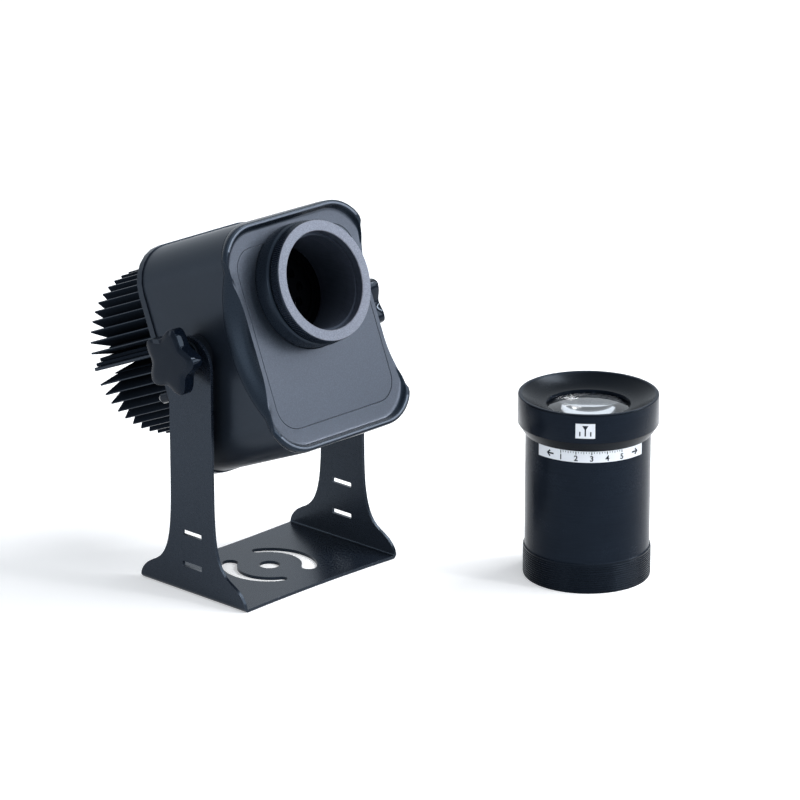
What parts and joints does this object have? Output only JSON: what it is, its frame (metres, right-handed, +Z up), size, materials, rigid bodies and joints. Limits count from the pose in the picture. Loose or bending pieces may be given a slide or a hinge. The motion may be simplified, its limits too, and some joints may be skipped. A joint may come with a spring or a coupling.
{
  "type": "gobo projector",
  "caption": "Compact gobo projector: finned lamp head tilting in a flat-footed U yoke on star knobs, with its separate focusing lens barrel standing beside it.",
  "frame": {"origin": "middle of the footprint of the yoke, head and standing lens together, on the floor", "axes": "+Z up, -Y the way the projector faces, +X towards the arm beside which the lens stands"},
  "size_m": [0.2568, 0.3078, 0.2321],
  "materials": {
    "yoke_coat": "fine matt powder coat",
    "housing_coat": "fine matt dark grey powder coat",
    "bezel_coat": "fine-grained matt dark grey powder coat",
    "heat_sink_black": "satin black anodised",
    "lens_black": "satin black anodised",
    "knob_black": "glossy",
    "black_plastic": "matt",
    "seal_rubber": "matt",
    "screw_steel": "zinc plated",
    "clear_glass": "polished, coated",
    "board": "solder mask",
    "white_board": "white solder mask on metal core",
    "phosphor": "phosphor",
    "gobo_steel": "etched sheet"
  },
  "bodies": {
    "yoke": {"yoke": "yoke_coat", "spacer_left": "black_plastic", "spacer_right": "black_plastic", "washer_left": "screw_steel", "washer_right": "screw_steel"},
    "head": {"housing_shell": "housing_coat", "front_bezel": "bezel_coat", "cover_plate": "bezel_coat", "nose_liner": "lens_black", "rear_plate": "housing_coat", "rear_seal": "seal_rubber", "heat_sink": "heat_sink_black", "led_board": "white_board", "led_emitter": "phosphor", "condenser_holder": "lens_black", "condenser_lens": "clear_glass", "driver_board": "board", "driver_module": "black_plastic", "cable_gland": "knob_black", "pivot_insert_left": "screw_steel", "pivot_insert_right": "screw_steel", "rear_screw_1": "screw_steel", "rear_screw_2": "screw_steel", "rear_screw_3": "screw_steel", "rear_screw_4": "screw_steel", "driver_standoff_1": "screw_steel", "driver_standoff_2": "screw_steel", "driver_standoff_3": "screw_steel", "driver_standoff_4": "screw_steel"},
    "knob_left": {"knob_left": "knob_black", "stud_left": "screw_steel"},
    "knob_right": {"knob_right": "knob_black", "stud_right": "screw_steel"},
    "nose_ring": {"nose_ring": "bezel_coat"},
    "gobo": {"gobo_holder": "lens_black", "gobo_disc": "gobo_steel", "gobo_clip": "screw_steel"},
    "lens": {"lens_tube": "lens_black", "lens_hood": "lens_black", "lens_front_glass": "clear_glass", "lens_front_ring": "lens_black", "lens_rear_ring": "lens_black", "lens_rear_glass": "clear_glass", "lens_baffle": "lens_black"}
  },
  "joints": [
    {"name": "head_tilt", "type": "hinge", "parent": "yoke", "child": "head", "pos_m": [-0.0446, 0.0354, 0.153], "axis": [1, 0, 0], "range_deg": [-67, 112]},
    {"name": "knob_left_turn", "type": "hinge", "parent": "head", "child": "knob_left", "pos_m": [-0.1196, 0.0354, 0.153], "axis": [-1, 0, 0], "range_deg": [0, 360]},
    {"name": "knob_right_turn", "type": "hinge", "parent": "head", "child": "knob_right", "pos_m": [0.0304, 0.0354, 0.153], "axis": [1, 0, 0], "range_deg": [0, 360]},
    {"name": "nose_ring_turn", "type": "hinge", "parent": "head", "child": "nose_ring", "pos_m": [-0.0446, -0.01018, 0.19476], "axis": [0, -0.9256, 0.3785], "continuous": true},
    {"name": "gobo_slide", "type": "slide", "parent": "head", "child": "gobo", "axis": [0, -0.9256, 0.3785], "range_m": [0, 0.05]},
    {"name": "lens_lift", "type": "slide", "parent": "yoke", "child": "lens", "axis": [0, 0, 1], "range_m": [0, 0.15]}
  ]
}
